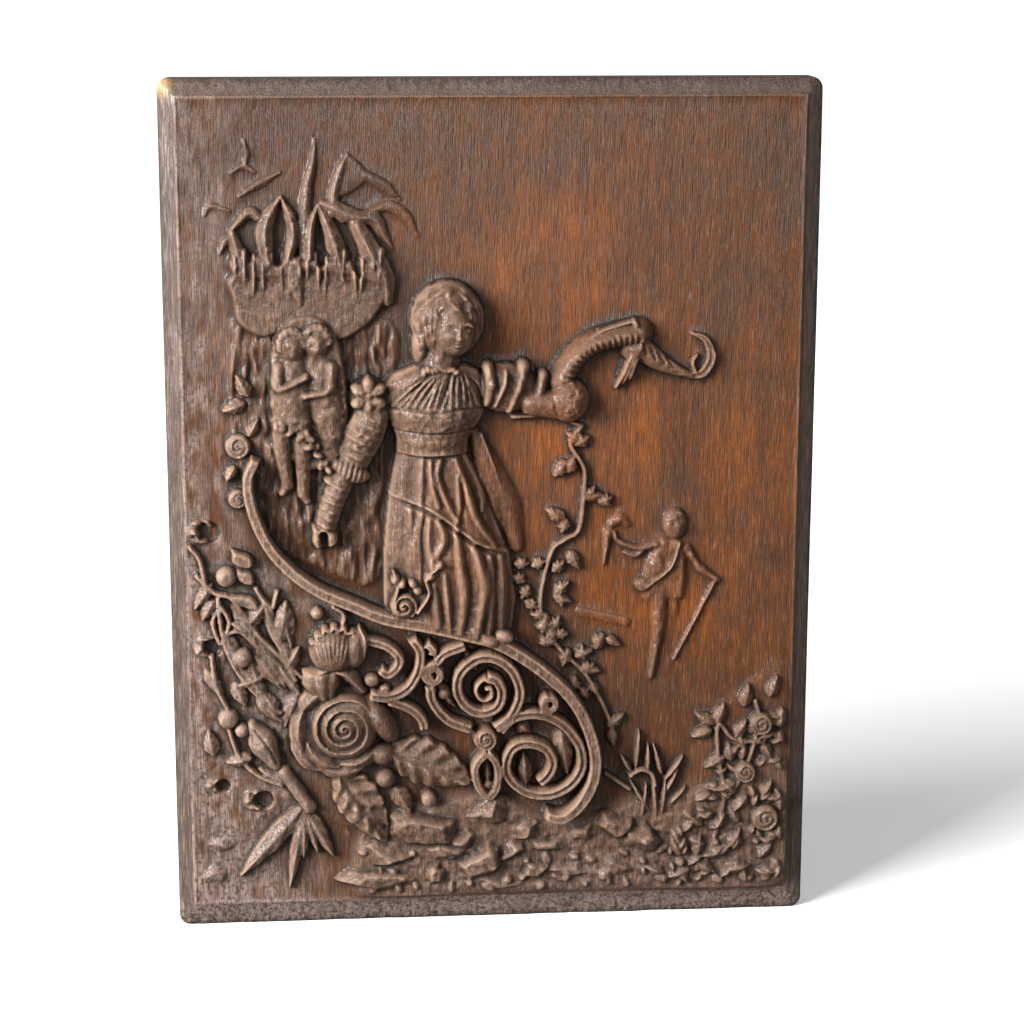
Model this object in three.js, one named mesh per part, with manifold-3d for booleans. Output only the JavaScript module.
// Carved wall panel: one board, worked in relief with a lady on a scrolled balcony among flowers.
// Millimetres. X runs to the right, Z up; the back lies at Y = 0 and the carving faces -Y.
import * as THREE from 'three';
import { mergeVertices } from 'three/addons/utils/BufferGeometryUtils.js';
import Module from 'manifold-3d';

const wasm = await Module();
wasm.setup();

// Board: outside size, corner radius, thickness at the edge and at the carved field.
const WIDTH = 280;
const HEIGHT = 373;
const CORNER = 5;
const EDGE = 11;
const FIELD = 15;

// Sloped border round the field.
const BORDER_SIDE = 7.5;
const BORDER_TOP = 7.5;
const BORDER_FOOT = 11;

// Every raised form reaches this far into the board.
const SINK = 1.5;

// Cross-sections of a raised band: place across it from -1 to 1, share of its full rise.
const ROUND = [[-0.75, 0.68], [0, 1], [0.75, 0.68]];
const FLAT = [[-0.55, 0.94], [0.55, 0.94]];
const ROOF = [[0, 1]];
const GROOVED = [[-0.8, 1], [0, 0.72], [0.8, 1]];

// Relief heights above the field.
const RISE = {
  head: 19.5, bodice: 16, skirt: 16, sleeve: 13, rail: 12, scroll: 9, rose: 15, leaf: 8, low: 4,
};

/** Panel point at x and z, raised by rise above the field. */
function at(x, rise, z) {
  return [x, -(FIELD + rise), z];
}

/** Value at share t along a number, a row of evenly spaced numbers, or a function. */
function along(value, t) {
  if (typeof value === 'function') return value(t);
  if (typeof value === 'number') return value;
  const place = Math.min(t, 1) * (value.length - 1);
  const first = Math.min(Math.floor(place), value.length - 2);
  return THREE.MathUtils.lerp(value[first], value[first + 1], place - first);
}

/** Closed skin through rings of the same number of points, with a fan over both ends. */
function loft(rings) {
  const count = rings[0].length;
  const points = rings.flat();
  const index = [];
  for (let row = 0; row + 1 < rings.length; row++) {
    for (let k = 0; k < count; k++) {
      const a = row * count + k;
      const b = row * count + ((k + 1) % count);
      index.push(a, b, a + count, b, b + count, a + count);
    }
  }
  for (const row of [0, rings.length - 1]) {
    const hub = points.length;
    points.push([0, 1, 2].map((axis) => rings[row].reduce((sum, p) => sum + p[axis], 0) / count));
    for (let k = 0; k < count; k++) {
      const a = row * count + k;
      const b = row * count + ((k + 1) % count);
      index.push(...(row === 0 ? [hub, b, a] : [hub, a, b]));
    }
  }
  const geometry = new THREE.BufferGeometry();
  geometry.setAttribute('position', new THREE.Float32BufferAttribute(points.flat(), 3));
  geometry.setIndex(index);
  return geometry;
}

/** Raised band along a curve through [x, z] points, with a width and a rise that may change along it. */
function ridge(path, width, rise, { section = ROUND, steps = (path.length - 1) * 2 } = {}) {
  const curve = new THREE.CatmullRomCurve3(path.map(([x, z]) => new THREE.Vector3(x, 0, z)));
  const rings = [];
  for (let k = 0; k <= steps; k++) {
    const t = k / steps;
    const middle = curve.getPoint(t);
    const way = curve.getTangent(t);
    const half = along(width, t) / 2;
    const top = along(rise, t);
    const spot = (s, height) => at(middle.x + way.z * half * s, height, middle.z - way.x * half * s);
    const ring = section.map(([s, share]) => spot(s, top * share));
    rings.push([...ring, spot(1, 0), spot(0, -SINK), spot(-1, 0)]);
  }
  return loft(rings);
}

/** Domed form with half sizes rx and rz, standing on base; turn is in degrees. */
function dome(x, z, rx, rz, rise, { base = 0, turn = 0, around = 7, up = 4 } = {}) {
  const ball = new THREE.SphereGeometry(1, around, up);
  const place = ball.attributes.position;
  const angle = THREE.MathUtils.degToRad(turn);
  for (let k = 0; k < place.count; k++) {
    const [a, b, c] = [place.getX(k) * rx, place.getY(k), place.getZ(k) * rz];
    const height = b > 0 ? base + b * rise : base + b * (base + SINK);
    const across = a * Math.cos(angle) - c * Math.sin(angle);
    const upward = a * Math.sin(angle) + c * Math.cos(angle);
    place.setXYZ(k, ...at(x + across, height, z + upward));
  }
  return ball;
}

/** Pointed leaf from its stalk end to its tip, highest along the midrib. */
function leaf(from, to, width, rise, bend = 0, steps = 3) {
  const middle = [(from[0] + to[0]) / 2, (from[1] + to[1]) / 2];
  const side = [(to[1] - from[1]) * bend, (from[0] - to[0]) * bend];
  const path = [from, [middle[0] + side[0], middle[1] + side[1]], to];
  const spread = (t) => width * (0.08 + 0.92 * Math.sin(Math.PI * t ** 0.8) ** 0.8);
  const lift = (t) => rise * (0.6 + 0.4 * Math.sin(Math.PI * t));
  return ridge(path, (t) => Math.max(spread(Math.min(t, 0.97)), 0.4), lift, { section: ROOF, steps });
}

/** Small leaf as a low four-sided peak: middle, heading in degrees (0 points right, 90 up) and length. */
function leafAt(x, z, heading, length, rise = RISE.low, width = length * 0.55) {
  const peak = new THREE.ConeGeometry(1, 1, 4);
  const spread = (rise + SINK) / rise / 2;
  peak.scale(width * spread, rise + SINK, length * spread);
  peak.translate(0, (rise - SINK) / 2, 0);
  const place = peak.attributes.position;
  const angle = THREE.MathUtils.degToRad(heading - 90);
  const [c, s] = [Math.cos(angle), Math.sin(angle)];
  for (let k = 0; k < place.count; k++) {
    const [side, height, forward] = [place.getX(k), place.getY(k), place.getZ(k)];
    place.setXYZ(k, ...at(x + c * side - s * forward, height, z + s * side + c * forward));
  }
  return peak;
}

/** Points of a curl from radius r0 to r1 about a centre; the turns may be negative. */
function curl(x, z, r0, r1, start, turns, count = Math.ceil(Math.abs(turns) * 8)) {
  const points = [];
  for (let k = 0; k <= count; k++) {
    const t = k / count;
    const angle = THREE.MathUtils.degToRad(start) + t * turns * 2 * Math.PI;
    const radius = THREE.MathUtils.lerp(r0, r1, t);
    points.push([x + radius * Math.cos(angle), z + radius * Math.sin(angle)]);
  }
  return points;
}

/** Round form built of rings [share of the radius, height, swell of the lobes] from its foot to its top. */
function mound(x, z, rx, rz, rings, { lobes = 0, around = 8, turn = 0 } = {}) {
  const skin = [[0.6, -SINK, 0], ...rings].map(([share, height, swell = 0]) => {
    const ring = [];
    for (let k = 0; k < around; k++) {
      const angle = (2 * Math.PI * k) / around + THREE.MathUtils.degToRad(turn);
      const reach = share * (1 + swell * Math.cos(lobes * angle));
      ring.push(at(x + rx * reach * Math.cos(angle), height, z + rz * reach * Math.sin(angle)));
    }
    return ring;
  });
  return loft(skin);
}

/** Open rose: lobed outer petals, a hollow ring and a raised heart. */
function rose(x, z, radius, rise, petals = 5) {
  const rings = [
    [1, 0, 0.1], [0.86, rise * 0.8, 0.12], [0.6, rise * 0.62, 0], [0.42, rise, 0.15], [0.14, rise * 0.8, 0],
  ];
  return mound(x, z, radius, radius, rings, { lobes: petals, around: petals * 2 });
}

/** Round berry. */
function berry(x, z, radius, rise) {
  return dome(x, z, radius, radius, rise);
}

/** Cloth between a left and a right edge, row by row: [left x, z, right x, z, rise, fold depth]. */
function drape(rows, folds, across = Math.max(folds * 2, 6)) {
  const rings = rows.map(([xl, zl, xr, zr, rise, depth]) => {
    const ring = [];
    for (let k = 0; k <= across; k++) {
      const s = k / across;
      const crown = Math.sin(Math.PI * (0.06 + 0.88 * s)) ** 0.45;
      const pleat = depth * Math.cos(2 * Math.PI * folds * s);
      const x = THREE.MathUtils.lerp(xl, xr, s);
      ring.push(at(x, rise * crown + pleat, THREE.MathUtils.lerp(zl, zr, s)));
    }
    return [...ring, at(xr, 0, zr), at((xl + xr) / 2, -SINK, (zl + zr) / 2), at(xl, 0, zl)];
  });
  return loft(rings);
}

/** Board with a flat back and a sloped border, from three rounded outlines. */
function board() {
  const outline = (left, right, foot, top, radius, depth) => {
    const points = [];
    const corners = [[right, foot, -90], [right, top, 0], [left, top, 90], [left, foot, 180]];
    for (const [x, z, start] of corners) {
      const inward = [x > 0 ? -radius : radius, z > 0 ? -radius : radius];
      for (let k = 0; k <= 4; k++) {
        const angle = THREE.MathUtils.degToRad(start + k * 22.5);
        const cx = x + inward[0] + radius * Math.cos(angle);
        points.push([cx, -depth, z + inward[1] + radius * Math.sin(angle)]);
      }
    }
    return points;
  };
  const [w, h] = [WIDTH / 2, HEIGHT / 2];
  return loft([
    outline(-w, w, -h, h, CORNER, 0),
    outline(-w, w, -h, h, CORNER, EDGE),
    outline(-w + BORDER_SIDE, w - BORDER_SIDE, -h + BORDER_FOOT, h - BORDER_TOP, CORNER / 2, FIELD),
  ]);
}

/** Spiky plant that grows on the grotto: two hollow sheaths and bent or arching blades. */
function agave() {
  const blade = (path, width, rise) => {
    const taper = (t) => Math.max(width * (0.75 + t - 1.7 * t * t), 0.5);
    return ridge(path, taper, (t) => rise * (1 - 0.6 * t), { section: ROOF, steps: 3 });
  };
  const sheath = [[1, 0], [0.94, 5.5], [0.62, 5.5], [0.35, 2]];
  return [
    mound(-90, 123, 6.6, 15, sheath, { around: 8 }),
    mound(-70, 121, 7, 13.5, sheath, { around: 8 }),
    blade([[-78, 110], [-80, 134], [-75, 162]], 5, 6),
    blade([[-70, 130], [-65, 145], [-61.5, 155.5]], 7, 5),
    blade([[-61.5, 155.5], [-56, 149], [-53.5, 142]], 9, 3.5),
    blade([[-66, 134], [-56, 129], [-49, 124], [-43, 116]], 9, 5.5),
    blade([[-66, 137], [-52, 144], [-43, 140], [-37, 133]], 5, 3),
    blade([[-56, 131], [-49, 133], [-42, 134], [-33, 121]], 5, 3),
    blade([[-60, 124], [-55, 121], [-50, 112], [-46, 100]], 10, 7),
    blade([[-97, 126], [-104, 128], [-110, 122]], 8, 5),
    blade([[-105, 103], [-107, 114], [-110, 125]], 5, 6.5),
    blade([[-91, 147], [-100, 144], [-108, 138]], 4.4, 2.2),
    blade([[-103, 150], [-103, 154], [-104, 159]], 3, 2),
  ];
}

/** Mossy crown, smooth roof and fluted rock wall of the grotto. */
function grotto() {
  const [left, right] = [-110, -45];
  const crown = [[114, 5, 0.8], [105, 9, 1.6], [97, 10.5, 1.8], [93.5, 9, 1.5]];
  const wall = [[84, 3, 0.6], [30, 3.4, 0.6], [-18, 1, 0.4]];
  const sheet = (rows) => drape(rows.map(([z, rise, depth]) => [left, z, right, z, rise, depth]), 8);
  return [dome((left + right) / 2, 89, 32.5, 12, 9, { around: 12 }), sheet(crown), sheet(wall)];
}

/** Limb or body of a figure: a band with a broad top. */
function limb(path, width, rise, steps = path.length) {
  return ridge(path, width, rise, { section: FLAT, steps });
}

/** Couple of small figures in front of the grotto, with the roses beside them. */
function couple() {
  const leaves = [
    [-111, 49, 200, 11], [-107, 58, 120, 11], [-102, 40, 60, 9], [-103, 24, 300, 9], [-113, 20, 240, 8],
  ];
  return [
    dome(-87, 76, 6.2, 6.8, 10),
    limb([[-87, 70], [-91, 58], [-93, 46]], [9, 12, 13], [8, 10, 10]),
    limb([[-93, 48], [-94, 34], [-92, 15]], [9, 7, 4], [9, 8, 5]),
    limb([[-89, 47], [-85, 28], [-83, 12]], [9, 7, 4], [9, 8, 5]),
    limb([[-92, 64], [-86, 57], [-78, 53]], [6, 5, 4], [9, 11, 11]),
    dome(-75, 78, 7, 7.5, 10),
    limb([[-75, 71], [-74, 60], [-72.5, 48], [-69, 38], [-71.5, 28]], [9, 13, 14, 10, 7],
      [8, 10, 10, 9, 6]),
    limb([[-97, 42], [-84, 36], [-70, 26]], [4, 5, 4], [10, 11, 8]),
    rose(-109.5, 32, 5, 6, 4),
    rose(-110, 9, 4, 5, 4),
    ...leaves.map(([x, z, heading, length]) => leafAt(x, z, heading, length, 5)),
  ];
}

/** Head of the lady with a plain face turned to the right, a cap of hair and the neck. */
function ladyHead() {
  const [x, z] = [-20.2, 85.5];
  const face = [x + 2.8, z - 3.9];
  const hair = [[1, 0, 0.02], [0.98, 9, 0.03], [0.86, 14, 0.03], [0.6, 16.5, 0], [0.2, 17.5, 0]];
  const nose = [[face[0] + 1.8, face[1] + 4], [face[0] + 1.7, face[1] - 2]];
  return [
    mound(x, z, 16, 17.2, hair, { lobes: 7, around: 14, turn: 4 }),
    dome(-30, 80, 5.5, 9.5, 13.5, { turn: -6, around: 8 }),
    dome(...face, 8.4, 10.8, RISE.head - 10, { base: 10, turn: -7, around: 10, up: 4 }),
    ridge(nose, [2.4, 4], [RISE.head - 0.5, RISE.head + 1.5], { section: ROOF }),
    limb([[-24.5, 79], [-26.5, 71], [-27.5, 60]], [13, 12, 14], [15, 15, 13]),
  ];
}

/** Gathered yoke, bust band, waistband and folded skirt of the lady. */
function ladyDress() {
  const body = RISE.bodice;
  return [
    drape([
      [-34, 67, -12, 66.5, body - 3, 0.3], [-43, 63, -7, 63.8, body - 2, 0.4],
      [-47.6, 58.5, -4.6, 60, body - 1.4, 0.5], [-47.2, 47.5, -4.3, 47.2, body, 0.5],
    ], 8),
    drape([[-46.5, 48.5, -5, 48, body + 1, 0], [-45, 41, -7.5, 40.5, body + 1, 0]], 0),
    drape([[-44.5, 41, -8, 40.5, body - 1, 0], [-42.5, 29, -12, 28.5, body - 2, 0]], 0),
    drape([
      [-42, 31, -12.5, 30, RISE.skirt - 3, 0.8], [-45.5, 12, -3.5, 8, RISE.skirt - 1, 1.5],
      [-47.8, -14, 6.6, -17, RISE.skirt, 1.8], [-48, -33, 9.3, -37, RISE.skirt, 1.8],
      [-47.5, -43, 7, -56, RISE.skirt - 2, 1.6],
    ], 8),
    ridge([[-45, 11.5], [-33, 7], [-21.5, -0.7], [-6.5, -10], [6, -16]], 3, [14, 17.5, 18, 17, 13],
      { section: ROOF }),
    limb([[-8, 36], [-1, 18], [6, 2], [10, -12]], [5, 9, 9, 4], 5),
  ];
}

/** Both sleeves: slashed puffs, plain lengths, elbow globes and ribbed cuffs. */
function ladySleeves() {
  const ribs = (low, high, count) => {
    return (t) => THREE.MathUtils.lerp(low, high, Math.abs(Math.sin(count * Math.PI * t)));
  };
  return [
    drape([[-5, 64, 18, 66, 10, 0.6], [-4, 56, 22, 58, RISE.sleeve, 1.4], [0, 46, 22, 45, 10, 0.8]], 4),
    drape([
      [-59, 60, -47, 63, 11, 0.4], [-61.5, 54, -47, 54, RISE.sleeve + 1, 1.2], [-59, 47, -47, 46, 11, 0.6],
    ], 3),
    limb([[14, 50], [26, 49]], [12, 13], RISE.sleeve - 2),
    dome(31.5, 50.5, 9.2, 9.2, RISE.sleeve, { around: 9 }),
    limb([[28, 58], [33, 67.5], [41, 74.5], [51, 77.5], [61, 79]], [12, 11, 11, 11, 12],
      ribs(8.5, 11, 8), 16),
    dome(59, 71, 5.5, 6, 9),
    limb([[58, 70], [55, 62], [53, 55.5]], [6, 6, 4], [9, 8, 5]),
    limb([[62, 73], [69, 67.5], [76, 63.5], [85, 60]], [8, 7, 4, 2], [8, 7, 6, 4]),
    limb([[84, 60], [90, 61], [93.7, 68], [91, 75.5], [85.5, 78]], [2.4, 2.8, 2.8, 2.4, 1.2],
      [4, 5, 5, 4, 3], 7),
    ridge([[8, 43], [25, 43], [38, 38.5]], 2.2, 5, { section: ROOF, steps: 3 }),
    limb([[-53, 46], [-57, 36], [-61.5, 27]], [15, 17, 13],
      [RISE.sleeve, RISE.sleeve + 1, RISE.sleeve - 1]),
    dome(-62, 24, 6.8, 6, RISE.sleeve),
    limb([[-64.5, 21], [-71, 12], [-77, 3]], [11, 10, 8], ribs(9, 11.5, 4), 8),
    mound(-76.3, -5, 5.4, 6, [[1, 0], [0.9, 9], [0.5, 9], [0.4, 5]], { around: 7 }),
  ];
}

/** Rail, scrolls and side slats of the balcony in front of the lady. */
function balcony() {
  const rail = [
    [-102, 27.5], [-105.5, 19], [-105, 10], [-102, -1], [-96.5, -12], [-88, -22], [-76, -31], [-62, -37.5],
    [-47, -44], [-30, -47.5], [-12, -52], [0, -55.5], [12, -62.5], [23, -71], [33, -81], [40, -93],
    [44, -107], [43.5, -119], [38, -130], [30, -136.5], [22.5, -135],
  ];
  const band = (path, width = 3.6, rise = RISE.scroll, steps = path.length - 1) => {
    return ridge(path, width, rise, { section: FLAT, steps });
  };
  const parts = [
    ridge(rail, [4, 5, 5.5, 6, 6, 6.5, 6.5, 6.5, 6, 4], RISE.rail, { section: GROOVED, steps: 28 }),
    band(curl(-3, -78, 14, 4, 80, 1.8)),
    band([[1.5, -97], [9, -90.5], [20, -89], [33, -95], [38, -107], [35, -119], [27, -125.5], [17, -125],
      [8, -118.5], [4.5, -110], [8, -103.5], [15, -101.5], [23, -105], [25.5, -112], [22, -119]]),
    band(curl(24.2, -84.4, 3.6, 3.4, 100, 0.95), 2.2),
    band(curl(-26.7, -69.7, 4.6, 2, 60, 1.2), 2.4),
    band([[-11, -96.5], [-23.5, -88.5], [-29, -78], [-29.5, -68], [-24, -60.5], [-13, -56.5]]),
    band([[-35, -52.5], [-31.5, -65.5], [-36, -78], [-46, -80.6], [-56, -76.5]]),
    band([[-56, -55], [-46, -58], [-42, -64], [-46, -69]], 3),
    band([[-42, -84.5], [-33.5, -89], [-31, -96]], 3),
    band([[-2, -106.5], [-9, -114], [-6.5, -122.5], [-2.5, -127.5]], 2.4, 8),
    band([[-5, -106.5], [2, -114], [1, -122.5], [-2.5, -127.5]], 2.4, 8),
    rose(-4, -100, 5.4, RISE.scroll + 1, 5),
  ];
  for (const [x, z, r] of [[-2.6, -120, 2.6], [-21, -81.4, 3], [-53, -73, 3.2], [15, -111, 4.5]]) {
    parts.push(dome(x, z, r, r * 1.2, 8, { around: 6 }));
  }
  for (let k = 0; k < 5; k++) {
    const slat = [[-111.5 + k * 1.6, -9.5 - k * 4.4], [-101 + k * 2.4, -13.5 - k * 4.6]];
    parts.push(ridge(slat, 3.6, 7, { section: ROOF, steps: 1 }));
  }
  return parts;
}

/** Thin stem along [x, z] points. */
function stem(path, width = 2.2, rise = RISE.low) {
  return ridge(path, width, rise, { section: ROOF, steps: Math.round((path.length - 1) * 1.2) });
}

/** Large rose, carnation, buds, leaves and berries at the lower left. */
function bouquet() {
  const [x, z] = [-67, -93];
  const parts = [
    mound(x - 2, z - 1, 21, 21, [[1, 0, 0.05], [0.92, 9, 0.05], [0.7, 8, 0]], { lobes: 6, around: 12 }),
    rose(x, z, 15.5, RISE.rose, 6),
    dome(-50, -90.5, 5.4, 12, 13, { turn: 33 }),
    dome(-49.5, -106, 7, 5, 11, { turn: -15 }),
    drape([
      [-79, -79, -70, -79, 8, 0.4], [-83, -72, -67.5, -71.5, 12, 1], [-84, -67, -66, -66.5, 11, 1],
    ], 3),
    drape([
      [-79, -66, -67, -66, 11, 0.4], [-82, -57, -66, -57, 12.5, 1.1], [-81, -50, -66.5, -49.5, 9.5, 1],
    ], 4),
    dome(-62.6, -59.5, 6.6, 8.8, 12, { turn: -12 }),
    limb([[-106, -91.5], [-101, -100], [-96, -110.5]], [4, 12, 5], [8, 11, 8]),
    limb([[-92.6, -113.5], [-81.5, -130]], [6, 6], 8, 1),
    leaf([-46, -104.5], [-10.5, -120], 20, RISE.leaf + 1.5),
    leaf([-68.5, -116], [-48.5, -146], 19, RISE.leaf + 1, -0.06),
    leaf([-44.5, -121], [-36.5, -135], 9, RISE.leaf),
    dome(-48, -117.7, 4.6, 4.6, 9),
    berry(-29, -127.7, 3.3, 7),
  ];
  const berries = [[-128.5, -4.6, 4.2], [-115.8, -25, 4.4], [-109.7, -61.4, 4.2],
    [-116.3, -88.8, 4.2]];
  for (const [bx, bz, r] of berries) parts.push(berry(bx, bz, r, 8));
  for (const [cx, cz, r] of [[-124.5, -57, 4.4], [-121, -119.5, 4.2], [-103.5, -127, 6]]) {
    parts.push(mound(cx, cz, 1.3 * r, 1.2 * r, [[1, 0], [0.85, 3.2], [0.4, 1.5]], { around: 6 }));
  }
  const stems = [
    [[-129, -24], [-121, -32], [-113, -35.5], [-103, -51], [-94, -60.5], [-84, -71]],
    [[-119.5, -34], [-118, -51], [-112.5, -66.5], [-103, -79], [-93, -87]],
    [[-128.5, -9], [-125, -22], [-119.5, -34]],
    [[-116.3, -93], [-112, -106], [-104, -115], [-93, -120]],
    [[-123, -60], [-121, -74], [-116.3, -85]],
  ];
  for (const path of stems) parts.push(stem(path, 2.6, 5));
  const sprigs = [
    [-98, -68, 310, 16], [-92, -46, 80, 20], [-103, -42, 50, 13], [-106, -72, 200, 12], [-98, -82, 120, 12],
    [-110, -48, 150, 11], [-124, -40, 240, 11], [-112, -108, 190, 12], [-124, -100, 100, 12],
    [-88, -62, 60, 12],
  ];
  for (const [lx, lz, heading, length] of sprigs) parts.push(leafAt(lx, lz, heading, length, 6));
  return parts;
}

/** Rocks along the foot, with the tuft of long leaves at their left. */
function ground() {
  const rocks = [
    [-33, -141.5, 17, 7.5, 9, -6], [-48, -153, 13, 6, 8, 4], [-52, -165, 16, 5, 7, 0],
    [-3, -134.5, 11, 6.5, 9, 12], [-5, -158, 10, 8, 8, 20], [9, -153, 6, 5, 7, 0], [-26, -164, 5.2, 5, 7, 0],
    [66, -149, 9.5, 7, 8, -10], [53.5, -141.5, 8, 6.5, 8, 0], [-22, -153, 9, 5, 6, 0],
    [27, -150, 9, 4.5, 5, 8], [33, -163, 12, 4, 4, 0], [2, -169, 12, 3.5, 4, 0], [55, -163, 13, 4, 4, -5],
    [-121, -147, 6, 3.4, 2.4, 10], [-124, -162, 4.5, 4, 2.6, 10],
  ];
  const parts = rocks.map(([x, z, rx, rz, rise, turn]) => dome(x, z, rx, rz, rise, { turn, around: 6 }));
  const root = [-84, -130];
  const tips = [[-113, -162.5, 9], [-91, -169, 6], [-84.5, -155, 6], [-78, -153, 5], [-71, -154.5, 7]];
  for (const [x, z, width] of tips) parts.push(leaf(root, [x, z], width, 6, 0.05, 2));
  parts.push(stem([[49, -118], [61, -126.5]], 3));
  return parts;
}

/** Climbing stem with leaves, right of the lady. */
function vine() {
  const parts = [
    stem([[37.5, 38], [33, 31], [39, 20], [39, 9], [37, -7], [31, -11.5], [25, -17], [20.5, -36], [21, -50]]),
    stem([[21, -50], [30, -62], [40, -72], [48, -86], [54, -102]]),
    limb([[38, -44.5], [58, -49.5]], 5, 1.4, 1),
  ];
  const leaves = [
    [38, 32, 30, 8], [28.5, 20, 230, 9], [33, 22, 60, 7], [43, 7.6, 10, 9], [48, 5, 330, 8],
    [27, -0.6, 150, 10], [35, -21, 300, 10], [29.5, -33, 40, 9], [30, -38, 340, 9], [22, -49, 260, 10],
    [24, -57.5, 200, 8], [31.5, -65, 250, 9], [39.5, -63, 20, 9], [43, -70.5, 350, 9], [35, -77.5, 260, 9],
    [44.5, -79.5, 300, 8], [54, -94, 40, 10], [52.5, -102, 280, 9], [46.5, -58, 60, 8], [52.5, -58, 330, 8],
  ];
  for (const [x, z, heading, length] of leaves) parts.push(leafAt(x, z, heading, length, RISE.low + 0.5));
  return parts;
}

/** Child with a staff in the distance, kept in low relief. */
function farChild() {
  return [
    dome(79, -5.5, 5.6, 7.2, 4.4),
    limb([[78, -12], [73.5, -22], [70, -36]], [8, 13, 12], [2.8, 3.4, 3]),
    stem([[80, -15], [77, -25], [66.5, -33.5]], 2.2, 4.6),
    dome(65.5, -32, 3.8, 3.3, 4, { around: 6 }),
    limb([[70, -15], [61, -16.5], [53.5, -12], [52.5, -6]], [5, 4, 3, 3], [3.4, 3, 2.8, 2.8]),
    limb([[49.5, -4.5], [47, -22]], [4.5, 1.5], 2.4, 1),
    limb([[84, -16.5], [90, -25.5], [98, -31]], [5, 4, 3], [3, 2.8, 2.6]),
    stem([[97.5, -31], [79.5, -67]], 2.2, 2.4),
    limb([[71, -36], [72, -53], [70, -64], [67.5, -74]], [9, 6.5, 4.5, 4], [3, 2.8, 2.4, 2]),
    limb([[78, -36], [79, -52], [79, -72]], [7, 5, 3.5], [2.4, 2, 1.4]),
  ];
}

/** Rose bush, grass and ground leaves at the lower right. */
function bush() {
  const blades = [
    [59.9, -114, 62.5, -94], [66.4, -114.5, 66.4, -103], [70.6, -116, 69.9, -101], [72, -116, 81, -107],
    [76.5, -119, 81, -112], [59, -114, 54, -106.5], [68.6, -116, 62, -134], [70, -117, 66, -136],
    [74, -117, 72, -134], [78, -118, 85, -128], [62, -116, 56, -128],
  ];
  const leaves = [
    [94, -94.5, 150, 10], [100.5, -92, 70, 10], [110, -99, 60, 10], [92.5, -101, 200, 10], [112, -84, 80, 11],
    [124, -80, 70, 11], [98.5, -114.5, 210, 11], [105, -110, 100, 9], [122, -110, 300, 9],
    [103, -126, 200, 11], [122, -127, 60, 9], [110, -134, 230, 10], [81.5, -153.5, 120, 10],
    [91.5, -153.5, 80, 10], [100, -156, 40, 10], [95, -163.5, 330, 11], [108, -150, 60, 10],
    [110, -164, 10, 11], [122, -156, 50, 10], [83, -166, 200, 11], [72, -164, 160, 9], [90, -141, 140, 9],
    [101, -142, 60, 9], [124, -166, 340, 8],
  ];
  return [
    ...blades.map(([x, z, tipX, tipZ]) => leaf([x, z], [tipX, tipZ], 3.4, 4.4, 0, 2)),
    ...leaves.map(([x, z, heading, length]) => leafAt(x, z, heading, length, RISE.low + 1)),
    stem([[92, -170], [99, -150], [103, -130], [100, -112], [100, -97], [107, -104], [121, -106]]),
    stem([[104, -132], [112, -119], [118, -97], [116, -86]]),
    rose(118.7, -96.7, 5.4, 7, 4),
    rose(112, -119, 5, 7, 4),
    rose(121.5, -140.7, 6.2, 7, 4),
  ];
}

/** Closed solid of a geometry, turned the right way out. */
function solid(geometry) {
  geometry.deleteAttribute('normal');
  geometry.deleteAttribute('uv');
  const welded = mergeVertices(geometry, 1e-4);
  const place = welded.attributes.position.array;
  const index = Array.from(welded.index.array);
  const corner = (k) => new THREE.Vector3().fromArray(place, index[k] * 3);
  let volume = 0;
  for (let k = 0; k < index.length; k += 3) volume += corner(k).dot(corner(k + 1).cross(corner(k + 2)));
  if (volume < 0) index.reverse();
  const mesh = new wasm.Mesh({ numProp: 3, vertProperties: place, triVerts: Uint32Array.from(index) });
  return new wasm.Manifold(mesh);
}

const carving = [
  board(), ...agave(), ...grotto(), ...couple(), ...ladyHead(), ...ladyDress(), ...ladySleeves(),
  ...balcony(), ...bouquet(), ...ground(), ...vine(), ...farChild(), ...bush(),
];
const whole = wasm.Manifold.union(carving.map(solid)).getMesh();

const geometry = new THREE.BufferGeometry();
geometry.setAttribute('position', new THREE.Float32BufferAttribute(whole.vertProperties, 3));
geometry.setIndex(Array.from(whole.triVerts));
geometry.computeVertexNormals();

const wood = new THREE.MeshStandardMaterial({ color: 0x80563c, roughness: 0.55, metalness: 0 });
const panel = new THREE.Mesh(geometry, wood);
panel.name = 'carved_panel';

const part = new THREE.Group();
part.name = 'carved_wall_panel';
part.add(panel);

export default part;
